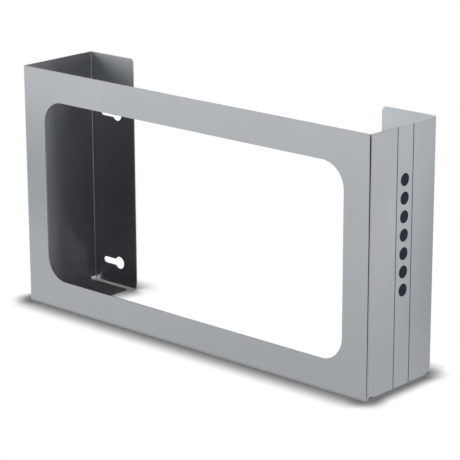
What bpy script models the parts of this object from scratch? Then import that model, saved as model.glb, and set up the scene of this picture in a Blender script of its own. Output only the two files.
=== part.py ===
"""Wall holder for three cartons of disposable gloves, folded from one sheet.

The outside skin of the right half is drawn as an open surface: the line of
the holder seen from above is raised to its full height, and the foot of the
side wall is turned inward as a tab. The skin is mirrored, given the sheet's
thickness inward, and then the window, the keyholes and the relief notches
are cut out of it.

Units are metres and +Z is up. The front panel faces -Y, the long side lies
along X, and the origin is on the floor under the middle of the holder.
"""
import math

import bmesh
import bpy

MM = 0.001

# Outside sizes of the folded holder.
WIDTH = 457.2 * MM
DEPTH = 98.4 * MM
HEIGHT = 254.0 * MM

# The sheet, and the inside radius of every fold.
SHEET_THICKNESS = 1.2 * MM
FOLD_INSIDE_RADIUS = 1.2 * MM

# Window in the front panel, given by the rails that are left around it.
WINDOW_SIDE_RAIL = 30.5 * MM
WINDOW_TOP_RAIL = 32.0 * MM
WINDOW_BOTTOM_RAIL = 30.0 * MM
WINDOW_CORNER_RADIUS = 25.4 * MM

# Back flanges, measured from the outside of the side wall.
FLANGE_WIDTH = 63.5 * MM
FLANGE_CORNER_RADIUS = 5.0 * MM

# Foot tabs, measured from the outside of the side wall. The setback is the
# flat part of the wall that is left open at each end of a tab.
TAB_LENGTH = 57.0 * MM
TAB_END_SETBACK = 6.0 * MM
TAB_CORNER_RADIUS = 3.0 * MM

# Relief notches in the side walls, between the tabs and the upright folds:
# how far each one reaches above the foot fold and into the folds at its
# two sides, and the radius of its corners.
RELIEF_ABOVE_FOLD = 1.0 * MM
RELIEF_INTO_FOLDS = 0.4 * MM
RELIEF_CORNER_RADIUS = 0.8 * MM

# Keyholes in the flanges: a round head with a slot toward the side wall.
KEYHOLE_HEAD_DIAMETER = 13.5 * MM
KEYHOLE_SLOT_WIDTH = 7.0 * MM
KEYHOLE_TRAVEL = 20.3 * MM
KEYHOLE_HEAD_INSET = 38.1 * MM
KEYHOLE_LOWER_HEIGHT = 25.4 * MM
KEYHOLE_UPPER_HEIGHT = 190.5 * MM

# Straight steps in a quarter turn of each kind of curve.
FOLD_STEPS = 6
WINDOW_CORNER_STEPS = 10
SMALL_CORNER_STEPS = 4
KEYHOLE_STEPS = 6

# How far a cutter stands out of the metal that it cuts.
CUTTER_MARGIN = 3.0 * MM

# Brushed stainless steel.
STEEL_COLOUR = (0.46, 0.48, 0.50, 1.0)
STEEL_ROUGHNESS = 0.35

FOLD_OUTSIDE_RADIUS = FOLD_INSIDE_RADIUS + SHEET_THICKNESS
HALF_WIDTH = WIDTH / 2
FRONT_Y = -DEPTH / 2
BACK_Y = DEPTH / 2
TAB_FRONT_Y = FRONT_Y + FOLD_OUTSIDE_RADIUS + TAB_END_SETBACK
TAB_BACK_Y = BACK_Y - FOLD_OUTSIDE_RADIUS - TAB_END_SETBACK


def remove_all_objects():
    """Empty the scene before the holder is built."""
    for scene_object in list(bpy.data.objects):
        bpy.data.objects.remove(scene_object, do_unlink=True)


def new_collection(name):
    """A collection linked to the scene."""
    collection = bpy.data.collections.new(name)
    bpy.context.scene.collection.children.link(collection)
    return collection


def arc_points(centre, radius, start, sweep, steps):
    """Points on an arc, both ends included. Angles are in degrees."""
    points = []
    for step in range(steps + 1):
        angle = math.radians(start + sweep * step / steps)
        x = centre[0] + radius * math.cos(angle)
        y = centre[1] + radius * math.sin(angle)
        points.append((x, y))
    return points


def plan_line():
    """Outside line of the right half from above, window side to flange."""
    radius = FOLD_OUTSIDE_RADIUS
    fold_x = HALF_WIDTH - radius
    front_fold = arc_points((fold_x, FRONT_Y + radius), radius, -90, 90, FOLD_STEPS)
    back_fold = arc_points((fold_x, BACK_Y - radius), radius, 0, 90, FOLD_STEPS)
    flange_edge = (HALF_WIDTH - FLANGE_WIDTH, BACK_Y)
    return [(0.0, FRONT_Y)] + front_fold + back_fold + [flange_edge]


def raise_plan_line(skin):
    """Raise the plan line from the floor to the top edge."""
    corners = [skin.verts.new((x, y, 0.0)) for x, y in plan_line()]
    edges = [skin.edges.new(pair) for pair in zip(corners, corners[1:])]
    raised = bmesh.ops.extrude_edge_only(skin, edges=edges)
    top = [item for item in raised["geom"] if isinstance(item, bmesh.types.BMVert)]
    bmesh.ops.translate(skin, verts=top, vec=(0.0, 0.0, HEIGHT))


def on_wall(item):
    """Whether an edge or face of the skin lies in the side wall."""
    return all(math.isclose(vert.co.x, HALF_WIDTH, abs_tol=MM / 100) for vert in item.verts)


def wall_geometry(skin):
    """Faces, edges and points of the flat side wall."""
    faces = [face for face in skin.faces if on_wall(face)]
    edges = {edge for face in faces for edge in face.edges}
    verts = {vert for face in faces for vert in face.verts}
    return list(verts) + list(edges) + faces


def cut_wall(skin, point, normal):
    """Add one straight line across the side wall."""
    bmesh.ops.bisect_plane(
        skin,
        geom=wall_geometry(skin),
        dist=MM / 1000,
        plane_co=point,
        plane_no=normal,
    )


def turn_foot_tab(skin):
    """Open the foot of the side wall and turn its middle inward."""
    fold_top = FOLD_OUTSIDE_RADIUS
    cut_wall(skin, (0.0, 0.0, fold_top), (0.0, 0.0, 1.0))
    cut_wall(skin, (0.0, TAB_FRONT_Y, 0.0), (0.0, 1.0, 0.0))
    cut_wall(skin, (0.0, TAB_BACK_Y, 0.0), (0.0, 1.0, 0.0))
    low_faces = [
        face
        for face in skin.faces
        if on_wall(face) and face.calc_center_median().z < fold_top
    ]
    bmesh.ops.delete(skin, geom=low_faces, context="FACES")
    fold_edge = [
        edge
        for edge in skin.edges
        if on_wall(edge) and edge.is_boundary and is_tab_edge(edge, fold_top)
    ]
    turned = bmesh.ops.spin(
        skin,
        geom=fold_edge,
        cent=(HALF_WIDTH - fold_top, 0.0, fold_top),
        axis=(0.0, 1.0, 0.0),
        angle=math.radians(90.0),
        steps=FOLD_STEPS,
    )
    last_edge = [item for item in turned["geom_last"] if isinstance(item, bmesh.types.BMEdge)]
    flat = bmesh.ops.extrude_edge_only(skin, edges=last_edge)
    end = [item for item in flat["geom"] if isinstance(item, bmesh.types.BMVert)]
    bmesh.ops.translate(skin, verts=end, vec=(fold_top - TAB_LENGTH, 0.0, 0.0))


def is_tab_edge(edge, height):
    """Whether an edge lies along the tab's fold at the given height."""
    middle = (edge.verts[0].co + edge.verts[1].co) / 2
    level = math.isclose(middle.z, height, abs_tol=MM / 100)
    return level and TAB_FRONT_Y < middle.y < TAB_BACK_Y


def round_corners(skin, edge_x, radius):
    """Round the free corners that lie at one distance from the middle."""
    corners = [
        vert
        for vert in skin.verts
        if math.isclose(vert.co.x, edge_x, abs_tol=MM / 100) and len(vert.link_edges) == 2
    ]
    bmesh.ops.bevel(
        skin,
        geom=corners,
        offset=radius,
        segments=SMALL_CORNER_STEPS,
        profile=0.5,
        affect="VERTICES",
    )


def face_outward(skin):
    """Point every face of the skin away from the space for the cartons."""
    bmesh.ops.recalc_face_normals(skin, faces=skin.faces[:])
    front = min(skin.faces, key=lambda face: face.calc_center_median().y)
    if front.normal.y > 0:
        bmesh.ops.reverse_faces(skin, faces=skin.faces[:])


def make_skin(name, collection):
    """Outside skin of the right half, open where it meets the left half."""
    skin = bmesh.new()
    raise_plan_line(skin)
    turn_foot_tab(skin)
    round_corners(skin, HALF_WIDTH - FLANGE_WIDTH, FLANGE_CORNER_RADIUS)
    round_corners(skin, HALF_WIDTH - TAB_LENGTH, TAB_CORNER_RADIUS)
    face_outward(skin)
    mesh = bpy.data.meshes.new(name)
    skin.to_mesh(mesh)
    skin.free()
    skin_object = bpy.data.objects.new(name, mesh)
    collection.objects.link(skin_object)
    return skin_object


def window_outline():
    """Round-cornered window, drawn on the front panel."""
    side = HALF_WIDTH - WINDOW_SIDE_RAIL
    radius = WINDOW_CORNER_RADIUS
    right = side - radius
    low = WINDOW_BOTTOM_RAIL + radius
    high = HEIGHT - WINDOW_TOP_RAIL - radius
    steps = WINDOW_CORNER_STEPS
    return (
        arc_points((right, high), radius, 0, 90, steps)
        + arc_points((-right, high), radius, 90, 90, steps)
        + arc_points((-right, low), radius, 180, 90, steps)
        + arc_points((right, low), radius, 270, 90, steps)
    )


def keyhole_outline(height):
    """Keyhole of the right flange: a round head and a slot to the wall."""
    head_x = HALF_WIDTH - KEYHOLE_HEAD_INSET
    slot_x = head_x + KEYHOLE_TRAVEL
    head_radius = KEYHOLE_HEAD_DIAMETER / 2
    slot_radius = KEYHOLE_SLOT_WIDTH / 2
    mouth = math.degrees(math.asin(slot_radius / head_radius))
    head = arc_points(
        (head_x, height), head_radius, mouth, 360 - 2 * mouth, 4 * KEYHOLE_STEPS
    )
    slot_end = arc_points((slot_x, height), slot_radius, -90, 180, 2 * KEYHOLE_STEPS)
    return head + slot_end


def mirrored(outline):
    """The same outline on the left half."""
    return [(-x, z) for x, z in outline]


def make_cutter(name, outline, wall_middle_y, collection):
    """Prism through an upright panel, from an outline drawn on the panel."""
    curve = bpy.data.curves.new(name, "CURVE")
    curve.dimensions = "2D"
    curve.fill_mode = "BOTH"
    curve.extrude = SHEET_THICKNESS / 2 + CUTTER_MARGIN
    spline = curve.splines.new("POLY")
    spline.points.add(len(outline) - 1)
    for point, (x, z) in zip(spline.points, outline):
        point.co = (x, z, 0.0, 1.0)
    spline.use_cyclic_u = True
    drawing = bpy.data.objects.new(name + "_drawing", curve)
    drawing.location = (0.0, wall_middle_y, 0.0)
    drawing.rotation_euler = (math.radians(90.0), 0.0, 0.0)
    collection.objects.link(drawing)
    depsgraph = bpy.context.evaluated_depsgraph_get()
    mesh = bpy.data.meshes.new_from_object(drawing.evaluated_get(depsgraph))
    close_caps(mesh)
    cutter = bpy.data.objects.new(name, mesh)
    cutter.matrix_world = drawing.matrix_world
    collection.objects.link(cutter)
    bpy.data.objects.remove(drawing, do_unlink=True)


def close_caps(mesh):
    """Weld the caps of an extruded outline to its sides."""
    prism = bmesh.new()
    prism.from_mesh(mesh)
    bmesh.ops.remove_doubles(prism, verts=prism.verts[:], dist=MM / 1000)
    bmesh.ops.recalc_face_normals(prism, faces=prism.faces[:])
    prism.to_mesh(mesh)
    prism.free()


def make_relief_cutter(name, side, end, collection):
    """Block that parts one end of a tab from the upright fold beside it.

    The side is -1 or 1 for left or right, the end -1 or 1 for front or back.
    """
    reach = FOLD_OUTSIDE_RADIUS + RELIEF_INTO_FOLDS
    top = FOLD_OUTSIDE_RADIUS + RELIEF_ABOVE_FOLD
    start = FOLD_OUTSIDE_RADIUS - RELIEF_INTO_FOLDS
    stop = FOLD_OUTSIDE_RADIUS + TAB_END_SETBACK + RELIEF_INTO_FOLDS
    size_x = reach + CUTTER_MARGIN
    size_y = stop - start
    size_z = top + CUTTER_MARGIN
    block = bmesh.new()
    bmesh.ops.create_cube(block, size=1.0)
    bmesh.ops.scale(block, verts=block.verts[:], vec=(size_x, size_y, size_z))
    crossing_edges = [
        edge
        for edge in block.edges
        if not math.isclose(edge.verts[0].co.x, edge.verts[1].co.x, abs_tol=MM / 100)
    ]
    bmesh.ops.bevel(
        block,
        geom=crossing_edges,
        offset=RELIEF_CORNER_RADIUS,
        segments=SMALL_CORNER_STEPS,
        profile=0.5,
        affect="EDGES",
    )
    mesh = bpy.data.meshes.new(name)
    block.to_mesh(mesh)
    block.free()
    cutter = bpy.data.objects.new(name, mesh)
    cutter.location = (
        side * (HALF_WIDTH - reach + size_x / 2),
        end * (DEPTH / 2 - (start + stop) / 2),
        top - size_z / 2,
    )
    collection.objects.link(cutter)


def make_cutters(collection):
    """Window, keyholes and relief notches, as solids to take away."""
    panel_middle = SHEET_THICKNESS / 2
    make_cutter("window_cutter", window_outline(), FRONT_Y + panel_middle, collection)
    heights = {"lower": KEYHOLE_LOWER_HEIGHT, "upper": KEYHOLE_UPPER_HEIGHT}
    for level, height in heights.items():
        outline = keyhole_outline(height)
        flange_middle = BACK_Y - panel_middle
        make_cutter(f"right_{level}_keyhole", outline, flange_middle, collection)
        make_cutter(f"left_{level}_keyhole", mirrored(outline), flange_middle, collection)
    for side_name, side in (("left", -1), ("right", 1)):
        for end_name, end in (("front", -1), ("back", 1)):
            make_relief_cutter(f"{side_name}_{end_name}_relief", side, end, collection)
    for cutter in collection.objects:
        cutter.hide_render = True
        cutter.display_type = "WIRE"


def steel_material():
    """Brushed stainless steel."""
    material = bpy.data.materials.new("brushed_stainless_steel")
    material.use_nodes = True
    shader = material.node_tree.nodes["Principled BSDF"]
    shader.inputs["Base Color"].default_value = STEEL_COLOUR
    shader.inputs["Metallic"].default_value = 1.0
    shader.inputs["Roughness"].default_value = STEEL_ROUGHNESS
    return material


remove_all_objects()
holder_collection = new_collection("glove_carton_holder")
cutter_collection = new_collection("holder_cutters")
make_cutters(cutter_collection)

holder = make_skin("folded_holder", holder_collection)
holder.data.materials.append(steel_material())
holder.data.shade_smooth()
holder.data.set_sharp_from_angle(angle=math.radians(30.0))

other_half = holder.modifiers.new("other_half", "MIRROR")
other_half.use_axis = (True, False, False)
other_half.merge_threshold = MM / 100

sheet = holder.modifiers.new("sheet", "SOLIDIFY")
sheet.thickness = SHEET_THICKNESS
sheet.offset = -1.0
sheet.use_even_offset = True

cut_outs = holder.modifiers.new("cut_outs", "BOOLEAN")
cut_outs.operation = "DIFFERENCE"
cut_outs.solver = "EXACT"
cut_outs.operand_type = "COLLECTION"
cut_outs.collection = cutter_collection
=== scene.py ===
import math

import bmesh
import bpy
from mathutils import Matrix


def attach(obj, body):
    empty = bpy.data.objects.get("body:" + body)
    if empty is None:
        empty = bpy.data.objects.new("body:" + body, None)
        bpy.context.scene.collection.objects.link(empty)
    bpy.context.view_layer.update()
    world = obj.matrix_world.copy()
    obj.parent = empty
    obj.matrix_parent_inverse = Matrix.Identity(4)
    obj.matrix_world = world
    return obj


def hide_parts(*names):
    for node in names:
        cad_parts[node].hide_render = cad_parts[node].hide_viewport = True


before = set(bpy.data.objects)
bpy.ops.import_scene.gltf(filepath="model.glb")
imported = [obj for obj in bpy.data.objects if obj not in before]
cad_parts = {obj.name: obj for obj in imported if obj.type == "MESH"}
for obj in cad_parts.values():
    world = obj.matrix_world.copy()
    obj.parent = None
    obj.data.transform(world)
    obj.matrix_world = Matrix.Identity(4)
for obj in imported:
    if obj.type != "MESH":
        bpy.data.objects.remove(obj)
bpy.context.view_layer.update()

# The holder is one sheet of stainless steel. Half of its outer skin is drawn
# first: the front panel, the side wall and the back flange, joined by the
# press brake's round folds, with the foot of the wall turned in as a tab.
MM = 0.001
half_width = 228.6 * MM
front_y = -49.2 * MM
back_y = 49.2 * MM
height = 254.0 * MM
thickness = 1.2 * MM
fold_radius = 2.4 * MM
fold_steps = 16
fold_x = half_width - fold_radius
flange_width = 63.5 * MM
flange_corner = 5.0 * MM
tab_length = 57.0 * MM
tab_corner = 3.0 * MM
tab_inset = 8.4 * MM
tab_front_y = front_y + tab_inset
tab_back_y = back_y - tab_inset
weld_distance = 0.01 * MM


def near(value, target):
    """Whether two lengths are close enough to be welded."""
    return abs(value - target) < weld_distance


def select_in_edit(piece, kind, test):
    """Select only the points, edges or faces whose places pass a test."""
    bpy.ops.mesh.select_all(action="DESELECT")
    bpy.ops.mesh.select_mode(type=kind)
    edited = bmesh.from_edit_mesh(piece.data)
    items = {"VERT": edited.verts, "EDGE": edited.edges, "FACE": edited.faces}[kind]
    for item in items:
        corners = [item.co] if kind == "VERT" else [vert.co for vert in item.verts]
        item.select_set(test(corners))
    edited.select_flush_mode()
    bmesh.update_edit_mesh(piece.data)


def fold_edges(centre, axis, pull):
    """Turn the selected edges a quarter round a fold and pull a flat from them."""
    bpy.ops.mesh.spin(steps=fold_steps, angle=math.radians(-90.0), center=centre, axis=axis)
    bpy.ops.mesh.extrude_edges_move(TRANSFORM_OT_translate={"value": pull})


bpy.ops.object.select_all(action="DESELECT")
bpy.ops.mesh.primitive_plane_add(
    size=1.0,
    location=(fold_x / 2, front_y, height / 2),
    rotation=(math.radians(90.0), 0.0, 0.0),
)
holder = bpy.context.object
holder.name = "steel_holder"
holder.scale = (fold_x, height, 1.0)
bpy.ops.object.transform_apply(location=True, rotation=True, scale=True)

bpy.ops.object.mode_set(mode="EDIT")
select_in_edit(holder, "EDGE", lambda c: all(near(v.x, fold_x) for v in c))
fold_edges(
    centre=(fold_x, front_y + fold_radius, 0.0),
    axis=(0.0, 0.0, 1.0),
    pull=(0.0, back_y - front_y - 2 * fold_radius, 0.0),
)
fold_edges(
    centre=(fold_x, back_y - fold_radius, 0.0),
    axis=(0.0, 0.0, 1.0),
    pull=(fold_radius - flange_width, 0.0, 0.0),
)

for cut_point, cut_normal in (
    ((0.0, 0.0, fold_radius), (0.0, 0.0, 1.0)),
    ((0.0, tab_front_y, 0.0), (0.0, 1.0, 0.0)),
    ((0.0, tab_back_y, 0.0), (0.0, 1.0, 0.0)),
):
    select_in_edit(holder, "FACE", lambda c: all(near(v.x, half_width) for v in c))
    bpy.ops.mesh.bisect(plane_co=cut_point, plane_no=cut_normal, threshold=weld_distance / 10)
select_in_edit(
    holder,
    "FACE",
    lambda c: all(near(v.x, half_width) and v.z < fold_radius + weld_distance for v in c),
)
bpy.ops.mesh.delete(type="FACE")
select_in_edit(
    holder,
    "EDGE",
    lambda c: all(near(v.x, half_width) and near(v.z, fold_radius) for v in c)
    and tab_front_y < sum(v.y for v in c) / 2 < tab_back_y,
)
fold_edges(
    centre=(fold_x, 0.0, fold_radius),
    axis=(0.0, 1.0, 0.0),
    pull=(fold_radius - tab_length, 0.0, 0.0),
)
select_in_edit(holder, "VERT", lambda c: near(c[0].x, half_width - flange_width))
bpy.ops.mesh.bevel(offset=flange_corner, segments=10, affect="VERTICES")
select_in_edit(holder, "VERT", lambda c: near(c[0].x, half_width - tab_length))
bpy.ops.mesh.bevel(offset=tab_corner, segments=8, affect="VERTICES")
bpy.ops.mesh.select_all(action="SELECT")
bpy.ops.mesh.normals_make_consistent(inside=False)
bpy.ops.object.mode_set(mode="OBJECT")

front_face = min(holder.data.polygons, key=lambda face: face.center.y)
if front_face.normal.y > 0:
    holder.data.flip_normals()

other_half = holder.modifiers.new("other_half", "MIRROR")
other_half.use_axis = (True, False, False)
other_half.merge_threshold = weld_distance
bpy.ops.object.modifier_apply(modifier=other_half.name)
sheet = holder.modifiers.new("sheet", "SOLIDIFY")
sheet.thickness = thickness
sheet.offset = -1.0
sheet.use_even_offset = True
bpy.ops.object.modifier_apply(modifier=sheet.name)

# The window and the keyholes are punched while the sheet is flat. So are the
# square reliefs at both ends of each tab, which let the foot of the wall turn
# in beside the upright folds. A punch is a block with rounded corners.
window_half_width = 198.1 * MM
window_bottom = 30.0 * MM
window_top = 222.0 * MM
window_corner = 25.4 * MM
keyhole_head_x = half_width - 38.1 * MM
keyhole_head_diameter = 13.5 * MM
keyhole_slot_width = 7.0 * MM
keyhole_slot_corner = keyhole_slot_width / 2 - 0.1 * MM
keyhole_travel = 20.3 * MM
keyhole_heights = (25.4 * MM, 190.5 * MM)
relief_start = 2.0 * MM
relief_stop = tab_inset + 0.4 * MM
relief_depth = 2.8 * MM
relief_top = 3.4 * MM
relief_corner = 1.0 * MM
punch_outside = 3.0 * MM
punch_inside = 4.0 * MM
punches = []


def add_block_punch(low, high, corner, corner_steps, axis):
    """Block between two corners, its edges along one axis rounded."""
    bpy.ops.object.select_all(action="DESELECT")
    middle = [(a + b) / 2 for a, b in zip(low, high)]
    bpy.ops.mesh.primitive_cube_add(size=1.0, location=middle)
    punch = bpy.context.object
    punch.scale = [b - a for a, b in zip(low, high)]
    bpy.ops.object.transform_apply(location=True, rotation=True, scale=True)
    bpy.ops.object.mode_set(mode="EDIT")
    select_in_edit(punch, "EDGE", lambda c: not near(c[0][axis], c[1][axis]))
    bpy.ops.mesh.bevel(offset=corner, segments=corner_steps, affect="EDGES")
    bpy.ops.object.mode_set(mode="OBJECT")
    punches.append(punch)


add_block_punch(
    (-window_half_width, front_y - punch_outside, window_bottom),
    (window_half_width, front_y + punch_inside, window_top),
    window_corner,
    corner_steps=32,
    axis=1,
)
for side in (-1, 1):
    for keyhole_height in keyhole_heights:
        slot_x = sorted(
            (
                side * keyhole_head_x,
                side * (keyhole_head_x + keyhole_travel + keyhole_slot_width / 2),
            )
        )
        add_block_punch(
            (slot_x[0], back_y - punch_inside, keyhole_height - keyhole_slot_width / 2),
            (slot_x[1], back_y + punch_outside, keyhole_height + keyhole_slot_width / 2),
            keyhole_slot_corner,
            corner_steps=14,
            axis=1,
        )
        bpy.ops.object.select_all(action="DESELECT")
        bpy.ops.mesh.primitive_cylinder_add(
            vertices=64,
            radius=keyhole_head_diameter / 2,
            depth=punch_inside + punch_outside,
            location=(side * keyhole_head_x, back_y, keyhole_height),
            rotation=(math.radians(90.0), 0.0, 0.0),
        )
        punches.append(bpy.context.object)
    for end in (-1, 1):
        relief_x = sorted((side * (half_width - relief_depth), side * (half_width + punch_outside)))
        relief_y = sorted((end * (back_y - relief_stop), end * (back_y - relief_start)))
        add_block_punch(
            (relief_x[0], relief_y[0], -punch_outside),
            (relief_x[1], relief_y[1], relief_top),
            relief_corner,
            corner_steps=6,
            axis=0,
        )

for punch in punches:
    bpy.context.view_layer.objects.active = holder
    cut = holder.modifiers.new("cut", "BOOLEAN")
    cut.operation = "DIFFERENCE"
    cut.solver = "EXACT"
    cut.object = punch
    bpy.ops.object.modifier_apply(modifier=cut.name)
    bpy.data.objects.remove(punch, do_unlink=True)

bpy.ops.object.select_all(action="DESELECT")
holder.select_set(True)
bpy.ops.object.mode_set(mode="EDIT")
bpy.ops.mesh.select_all(action="SELECT")
bpy.ops.mesh.remove_doubles(threshold=weld_distance)
bpy.ops.mesh.dissolve_limited(angle_limit=math.radians(0.5))
bpy.ops.object.mode_set(mode="OBJECT")

# Punched and sheared edges are tumbled just blunt, so that bare hands can
# reach past them. The flat faces keep a flat shine up to that blunt edge.
blunting = holder.modifiers.new("blunting", "BEVEL")
blunting.width = 0.1 * MM
blunting.segments = 2
blunting.limit_method = "ANGLE"
blunting.angle_limit = math.radians(50.0)
blunting.use_clamp_overlap = False
bpy.ops.object.modifier_apply(modifier=blunting.name)
bpy.ops.object.select_all(action="DESELECT")
holder.select_set(True)
bpy.ops.object.shade_smooth_by_angle(angle=math.radians(35.0))
flat_shine = holder.modifiers.new("flat_shine", "WEIGHTED_NORMAL")
flat_shine.mode = "FACE_AREA"
flat_shine.weight = 100
flat_shine.keep_sharp = True
bpy.ops.object.modifier_apply(modifier=flat_shine.name)

# Stainless steel, brushed along the sheet, so the grain is level all round the
# holder, and painted a little paler toward the top, as light from above would make it.
# The right wall has two thin grey rules from top to foot, with a column of plain
# navy dots between them.
rule_places = (-9.8 * MM, 13.7 * MM)
rule_width = 1.1 * MM
dot_middle_y = sum(rule_places) / 2
dot_diameter = 12.4 * MM
dot_pitch = 17.7 * MM
dot_top_z = 202.5 * MM
dot_count = 7
dot_dullness = 0.16
inner_top_start = 205 * MM
inner_top_end = 245 * MM
flange_top_painted_light = 0.42
wall_top_painted_shade = 0.45
tab_painted_shade = 0.45
foot_level = 0.95
top_level = 1.085
# How near its plane a point counts as on an outside or an inside face.
outer_skin = 0.05 * MM
inner_skin = 0.2 * MM

steel = bpy.data.materials.new("brushed_stainless_steel")
steel.use_nodes = True
nodes = steel.node_tree.nodes
links = steel.node_tree.links
metal = nodes["Principled BSDF"]
metal.inputs["Specular IOR Level"].default_value = 0.15
metal.inputs["Anisotropic"].default_value = 0.96
metal.inputs["Anisotropic Rotation"].default_value = 0.25
place = nodes.new("ShaderNodeTexCoord")
axes = nodes.new("ShaderNodeSeparateXYZ")
links.new(place.outputs["Object"], axes.inputs["Vector"])


def math_node(operation, first, second=None, third=None):
    """Math node on one to three values or sockets; gives its output socket."""
    node = nodes.new("ShaderNodeMath")
    node.operation = operation
    for slot, value in enumerate((first, second, third)):
        if value is None:
            continue
        if isinstance(value, (int, float)):
            node.inputs[slot].default_value = value
        else:
            links.new(value, node.inputs[slot])
    return node.outputs["Value"]


def distance_node(first, second):
    """Distance over two lengths at right angles; gives its output socket."""
    squares = [math_node("POWER", length, 2.0) for length in (first, second)]
    return math_node("SQRT", math_node("ADD", *squares))


def ramp_node(value, first, last, first_level, last_level, blend="SMOOTHSTEP"):
    """Map Range node between two levels, soft at its ends unless LINEAR."""
    node = nodes.new("ShaderNodeMapRange")
    node.interpolation_type = blend
    node.inputs["From Min"].default_value = first
    node.inputs["From Max"].default_value = last
    node.inputs["To Min"].default_value = first_level
    node.inputs["To Max"].default_value = last_level
    links.new(value, node.inputs["Value"])
    return node.outputs["Result"]


def tint_node(base, tint, mask):
    """Mix node that lays a tint over a base colour; gives its output socket."""
    node = nodes.new("ShaderNodeMix")
    node.data_type = "RGBA"
    node.inputs["B"].default_value = tint
    links.new(mask, node.inputs["Factor"])
    links.new(base, node.inputs["A"])
    return node.outputs["Result"]


def soft_patch(middle, reach):
    """Mask that falls softly from one at a place to nought at its reach."""
    patch = nodes.new("ShaderNodeMapping")
    patch.vector_type = "TEXTURE"
    patch.inputs["Location"].default_value = middle
    patch.inputs["Scale"].default_value = reach
    links.new(place.outputs["Object"], patch.inputs["Vector"])
    length = nodes.new("ShaderNodeVectorMath")
    length.operation = "LENGTH"
    links.new(patch.outputs["Vector"], length.inputs[0])
    return ramp_node(length.outputs["Value"], 0.0, 1.0, 1.0, 0.0)


grain_direction = nodes.new("ShaderNodeTangent")
grain_direction.direction_type = "RADIAL"
grain_direction.axis = "Z"
links.new(grain_direction.outputs["Tangent"], metal.inputs["Tangent"])

grain_stretch = nodes.new("ShaderNodeMapping")
grain_stretch.inputs["Scale"].default_value = (14.0, 14.0, 1400.0)
grain = nodes.new("ShaderNodeTexNoise")
grain.inputs["Scale"].default_value = 1.0
grain.inputs["Detail"].default_value = 4.0
grain.inputs["Roughness"].default_value = 0.6
links.new(place.outputs["Object"], grain_stretch.inputs["Vector"])
links.new(grain_stretch.outputs["Vector"], grain.inputs["Vector"])
grain_relief = nodes.new("ShaderNodeBump")
grain_relief.inputs["Strength"].default_value = 0.04
grain_relief.inputs["Distance"].default_value = 0.0002
links.new(grain.outputs["Fac"], grain_relief.inputs["Height"])
links.new(grain_relief.outputs["Normal"], metal.inputs["Normal"])

cloud = nodes.new("ShaderNodeTexNoise")
cloud.inputs["Scale"].default_value = 9.0
cloud.inputs["Detail"].default_value = 2.0
links.new(place.outputs["Object"], cloud.inputs["Vector"])
finish_roughness = ramp_node(cloud.outputs["Fac"], 0.3, 0.7, 0.32, 0.36, "LINEAR")

on_right_wall = math_node("GREATER_THAN", axes.outputs["X"], half_width - outer_skin)
first_rule, second_rule = [
    math_node("COMPARE", axes.outputs["Y"], rule_y, rule_width / 2) for rule_y in rule_places
]
rules = math_node("MAXIMUM", first_rule, second_rule)
rule_mask = math_node("MULTIPLY", rules, on_right_wall)

dot_y = math_node("SUBTRACT", axes.outputs["Y"], dot_middle_y)
dot_rows = math_node("DIVIDE", math_node("SUBTRACT", axes.outputs["Z"], dot_top_z), dot_pitch)
nearest_row = math_node("ROUND", dot_rows)
dot_row = math_node("MINIMUM", math_node("MAXIMUM", nearest_row, 1.0 - dot_count), 0.0)
dot_z = math_node("MULTIPLY", math_node("SUBTRACT", dot_rows, dot_row), dot_pitch)
inside_dot = math_node("LESS_THAN", distance_node(dot_y, dot_z), dot_diameter / 2)
dot_mask = math_node("MULTIPLY", inside_dot, on_right_wall)

steel_tone = nodes.new("ShaderNodeMix")
steel_tone.data_type = "RGBA"
steel_tone.inputs["A"].default_value = (0.565, 0.588, 0.614, 1.0)
steel_tone.inputs["B"].default_value = (0.594, 0.618, 0.645, 1.0)
links.new(grain.outputs["Fac"], steel_tone.inputs["Factor"])

# The left rail is painted a touch darker half way up, and the right wall at its
# back: painted shade standing for dimmer reflections there.
painted_rail_shade = soft_patch(
    middle=(-213 * MM, front_y, 142 * MM), reach=(80 * MM, 80 * MM, 115 * MM)
)
painted_wall_shade = soft_patch(
    middle=(half_width, 62 * MM, 125 * MM), reach=(90 * MM, 80 * MM, 240 * MM)
)
painted_shade_mask = math_node("MAXIMUM", painted_rail_shade, painted_wall_shade)
painted_shade_tone = tint_node(steel_tone.outputs["Result"], (0.440, 0.478, 0.503, 1.0), painted_shade_mask)

# Painted light and shade: the holder is painted a little paler toward the top,
# and inside, the tops of the flanges are painted paler and those of the walls
# darker, and the tabs are painted into the deepest shade.
painted_height_shade = ramp_node(axes.outputs["Z"], 0.0, height, foot_level, top_level, "LINEAR")
inner_top = ramp_node(axes.outputs["Z"], inner_top_start, inner_top_end, 0.0, 1.0)
across = math_node("ABSOLUTE", axes.outputs["X"])
in_flange = math_node("COMPARE", axes.outputs["Y"], back_y - thickness, inner_skin)
in_wall = math_node("COMPARE", across, half_width - thickness, inner_skin)
on_tab = math_node("COMPARE", axes.outputs["Z"], thickness, inner_skin)
painted_top_change = math_node(
    "SUBTRACT",
    math_node("MULTIPLY", in_flange, flange_top_painted_light),
    math_node("MULTIPLY", in_wall, wall_top_painted_shade),
)
painted_inner_shade = math_node(
    "MULTIPLY",
    math_node("MULTIPLY_ADD", painted_top_change, inner_top, 1.0),
    math_node("MULTIPLY_ADD", on_tab, -tab_painted_shade, 1.0),
)
painted_light_tone = nodes.new("ShaderNodeVectorMath")
painted_light_tone.operation = "SCALE"
links.new(painted_shade_tone, painted_light_tone.inputs[0])
links.new(math_node("MULTIPLY", painted_height_shade, painted_inner_shade), painted_light_tone.inputs["Scale"])

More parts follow.
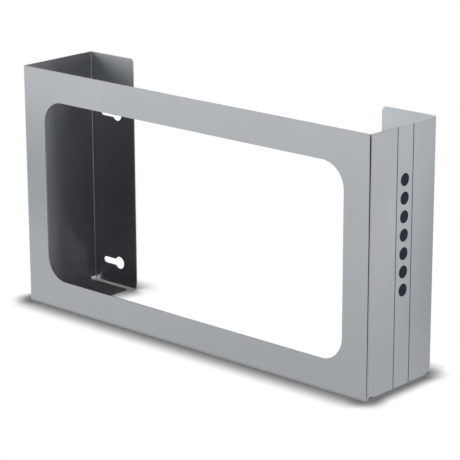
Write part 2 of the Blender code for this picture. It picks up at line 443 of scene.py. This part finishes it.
# The dots are printed ink, so the metal shine stops at their edges.
ruled_tone = tint_node(painted_light_tone.outputs["Vector"], (0.055, 0.063, 0.080, 1.0), rule_mask)
printed_tone = tint_node(ruled_tone, (0.012, 0.020, 0.036, 1.0), dot_mask)
printed_roughness = math_node("MULTIPLY_ADD", dot_mask, dot_dullness, finish_roughness)
links.new(printed_tone, metal.inputs["Base Color"])
links.new(math_node("SUBTRACT", 1.0, dot_mask), metal.inputs["Metallic"])
links.new(printed_roughness, metal.inputs["Roughness"])

holder.data.materials.clear()
holder.data.materials.append(steel)
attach(holder, "root")
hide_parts("folded_holder")

# A plain white floor under the holder. It stays pure white in the open and
# is painted with the holder's contact shadow close to the foot, from ambient
# occlusion, with painted shade a little deeper round the corners and at the tabs'
# ends, and narrower beside the end walls.
corner_reach = 24 * MM
corner_depth = 0.22
back_corner_share = 0.45
tab_reach = 28 * MM
tab_depth = 0.24
tab_fade = 9 * MM
tab_overrun = 5 * MM
shadow_reach = 31 * MM
side_shadow_reach = 18 * MM
reach_change_start = -4 * MM
reach_change_end = 8 * MM
full_contact = 0.5
shadow_curve = 1.8
darkest_floor = 0.17

bpy.ops.object.select_all(action="DESELECT")
bpy.ops.mesh.primitive_plane_add(size=8.0, location=(0.0, 0.0, 0.0))
floor = bpy.context.object
floor.name = "studio_floor"
floor.visible_glossy = False
floor_paint = bpy.data.materials.new("white_floor")
floor_paint.use_nodes = True
nodes = floor_paint.node_tree.nodes
links = floor_paint.node_tree.links
white_paint = nodes["Principled BSDF"]
white_paint.inputs["Base Color"].default_value = (0.9, 0.9, 0.9, 1.0)
white_paint.inputs["Roughness"].default_value = 0.8
floor_place = nodes.new("ShaderNodeTexCoord")
floor_axes = nodes.new("ShaderNodeSeparateXYZ")
links.new(floor_place.outputs["Object"], floor_axes.inputs["Vector"])
floor_y = floor_axes.outputs["Y"]
from_middle = math_node("ABSOLUTE", floor_axes.outputs["X"])
outside_x = math_node("SUBTRACT", from_middle, half_width)
outside_y = math_node("SUBTRACT", math_node("ABSOLUTE", floor_y), back_y)
at_front = math_node("LESS_THAN", floor_y, 0.0)

corner_shade = math_node(
    "MULTIPLY",
    ramp_node(distance_node(outside_x, outside_y), 0.0, corner_reach, corner_depth, 0.0),
    math_node("MULTIPLY_ADD", at_front, 1.0 - back_corner_share, back_corner_share),
)
from_tab_end = math_node(
    "ABSOLUTE", math_node("SUBTRACT", from_middle, half_width - tab_length)
)
under_holder = math_node(
    "MULTIPLY",
    ramp_node(floor_y, front_y, front_y + tab_fade, 0.0, 1.0),
    ramp_node(floor_y, back_y - tab_fade, back_y + tab_overrun, 1.0, 0.0),
)
tab_shade = math_node(
    "MULTIPLY", ramp_node(from_tab_end, 0.0, tab_reach, tab_depth, 0.0), under_holder
)
foot_shade = math_node("ADD", corner_shade, tab_shade)

contact = nodes.new("ShaderNodeAmbientOcclusion")
contact.samples = 16
contact_reach = ramp_node(
    outside_x,
    reach_change_start,
    reach_change_end,
    shadow_reach,
    side_shadow_reach,
    "LINEAR",
)
links.new(contact_reach, contact.inputs["Distance"])
contact_light = math_node("SUBTRACT", contact.outputs["AO"], foot_shade)
contact_depth = ramp_node(contact_light, full_contact, 1.0, 0.0, 1.0, "LINEAR")
contact_fade = math_node("POWER", contact_depth, shadow_curve)
seen_white = nodes.new("ShaderNodeEmission")
links.new(
    math_node("MULTIPLY_ADD", contact_fade, 1.0 - darkest_floor, darkest_floor),
    seen_white.inputs["Strength"],
)
floor_ray = nodes.new("ShaderNodeLightPath")
floor_look = nodes.new("ShaderNodeMixShader")
links.new(floor_ray.outputs["Is Camera Ray"], floor_look.inputs["Fac"])
links.new(white_paint.outputs["BSDF"], floor_look.inputs[1])
links.new(seen_white.outputs["Emission"], floor_look.inputs[2])
links.new(floor_look.outputs["Shader"], nodes["Material Output"].inputs["Surface"])
floor.data.materials.append(floor_paint)

# Cards that only the steel's reflections see, which paint its reflected light and
# shade. Black ones on the floor, in the window and behind the left flange paint the
# inside's reflections dark, paler ones paint reflected light at the keyhole and past
# the flange, and a narrow one paints a dark reflection along a fold.
black = 0.06
keyhole_tone = 0.8
gap_tone = 0.45
floor_card_lift = 0.2 * MM
floor_card_size = (2 * half_width - 6 * MM, back_y - front_y - 4.4 * MM)
flange_card_x = -191 * MM
flange_card_y = back_y - thickness / 2
flange_card_width = 52 * MM
keyhole_card_top = 60 * MM
flange_card_top = 240 * MM
gap_card_width = 40 * MM
window_card_left = -226 * MM
window_card_right = -30 * MM
window_card_bottom = 30 * MM
window_card_top = 320 * MM
corner_card_gap = 8.8 * MM
corner_card_width = 12 * MM


def add_card(name, middle, size, tone, tilt=90.0, turn=0.0):
    """Card of one grey tone, upright unless tilted, for reflections alone."""
    bpy.ops.object.select_all(action="DESELECT")
    bpy.ops.mesh.primitive_plane_add(
        size=1.0,
        location=middle,
        rotation=(math.radians(tilt), 0.0, math.radians(turn)),
    )
    card = bpy.context.object
    card.name = name
    card.scale = (size[0], size[1], 1.0)
    bpy.ops.object.transform_apply(location=True, rotation=True, scale=True)
    card.visible_camera = False
    card.visible_diffuse = False
    card.visible_shadow = False
    paint = bpy.data.materials.new(name + "_paint")
    paint.use_nodes = True
    shader = paint.node_tree.nodes["Principled BSDF"]
    shader.inputs["Base Color"].default_value = (tone, tone, tone, 1.0)
    card.data.materials.append(paint)


add_card(
    "floor_card",
    middle=(0.0, 0.0, floor_card_lift),
    size=floor_card_size,
    tone=black,
    tilt=0.0,
)
add_card(
    "back_card",
    middle=(flange_card_x, flange_card_y, (keyhole_card_top + flange_card_top) / 2),
    size=(flange_card_width, flange_card_top - keyhole_card_top),
    tone=black,
)
add_card(
    "keyhole_card",
    middle=(flange_card_x, flange_card_y, keyhole_card_top / 2),
    size=(flange_card_width, keyhole_card_top),
    tone=keyhole_tone,
)
add_card(
    "gap_card",
    middle=(
        flange_card_x + (flange_card_width + gap_card_width) / 2,
        flange_card_y,
        flange_card_top / 2,
    ),
    size=(gap_card_width, flange_card_top),
    tone=gap_tone,
)
add_card(
    "window_card",
    middle=(
        (window_card_left + window_card_right) / 2,
        front_y + thickness / 2,
        (window_card_bottom + window_card_top) / 2,
    ),
    size=(window_card_right - window_card_left, window_card_top - window_card_bottom),
    tone=black,
)
add_card(
    "corner_card",
    middle=(half_width + corner_card_gap, front_y - corner_card_gap, height / 2),
    size=(corner_card_width, height),
    tone=black,
    tilt=87.1,
    turn=45.0,
)

# A white light tent with a dark roof stands round the holder, for the steel's
# reflections alone. It fades toward the floor and is dimmer high up at its
# back right. Everything else is lit by plain white.
back_azimuth = math.radians(48.0)
back_dim_edge = math.radians(55.0)
back_dim_core = math.radians(20.0)

tent = bpy.data.worlds.new("light_tent")
bpy.context.scene.world = tent
tent.use_nodes = True
nodes = tent.node_tree.nodes
links = tent.node_tree.links
nodes.clear()
sky_place = nodes.new("ShaderNodeTexCoord")
sky_axes = nodes.new("ShaderNodeSeparateXYZ")
links.new(sky_place.outputs["Generated"], sky_axes.inputs["Vector"])
sky_z = sky_axes.outputs["Z"]


def elevation_ramp(first, last, first_level, last_level):
    """Level that changes softly between two elevations, in degrees."""
    sines = [math.sin(math.radians(elevation)) for elevation in (first, last)]
    return ramp_node(sky_z, sines[0], sines[1], first_level, last_level)


tent_foot = elevation_ramp(-32.0, -11.0, 0.28, 1.0)
tent_roof = elevation_ramp(28.0, 55.0, 1.0, 0.15)
toward_back = nodes.new("ShaderNodeVectorMath")
toward_back.operation = "DOT_PRODUCT"
toward_back.inputs[1].default_value = (math.cos(back_azimuth), math.sin(back_azimuth), 0.0)
links.new(sky_place.outputs["Generated"], toward_back.inputs[0])
level_part = math_node("SQRT", math_node("SUBTRACT", 1.0, math_node("POWER", sky_z, 2.0)))
back_width = ramp_node(
    math_node("DIVIDE", toward_back.outputs["Value"], level_part),
    math.cos(back_dim_edge),
    math.cos(back_dim_core),
    0.0,
    1.0,
)
back_height = elevation_ramp(-10.0, 8.0, 0.14, -0.5)
back_level = math_node("MULTIPLY_ADD", back_width, back_height, 1.0)
tent_level = math_node("MULTIPLY", math_node("MULTIPLY", tent_foot, tent_roof), back_level)

tent_seen = nodes.new("ShaderNodeBackground")
tent_seen.inputs["Color"].default_value = (1.0, 1.0, 1.0, 1.0)
links.new(tent_level, tent_seen.inputs["Strength"])
plain_white = nodes.new("ShaderNodeBackground")
plain_white.inputs["Color"].default_value = (1.0, 1.0, 1.0, 1.0)
sky_ray = nodes.new("ShaderNodeLightPath")
tent_look = nodes.new("ShaderNodeMixShader")
links.new(sky_ray.outputs["Is Glossy Ray"], tent_look.inputs["Fac"])
links.new(plain_white.outputs["Background"], tent_look.inputs[1])
links.new(tent_seen.outputs["Background"], tent_look.inputs[2])
sky_output = nodes.new("ShaderNodeOutputWorld")
links.new(tent_look.outputs["Shader"], sky_output.inputs["Surface"])

# The camera stands two metres away, before the holder's right front corner and
# a little above it. A long lens keeps the upright folds almost parallel.
bpy.ops.object.camera_add(
    location=(1.31600, -1.44052, 0.68465),
    rotation=(math.radians(73.5971), math.radians(0.1835), math.radians(42.0398)),
)
camera = bpy.context.object
camera.data.lens = 159.50
camera.data.sensor_width = 36.0
bpy.context.scene.camera = camera
bpy.context.scene.view_settings.view_transform = "Standard"
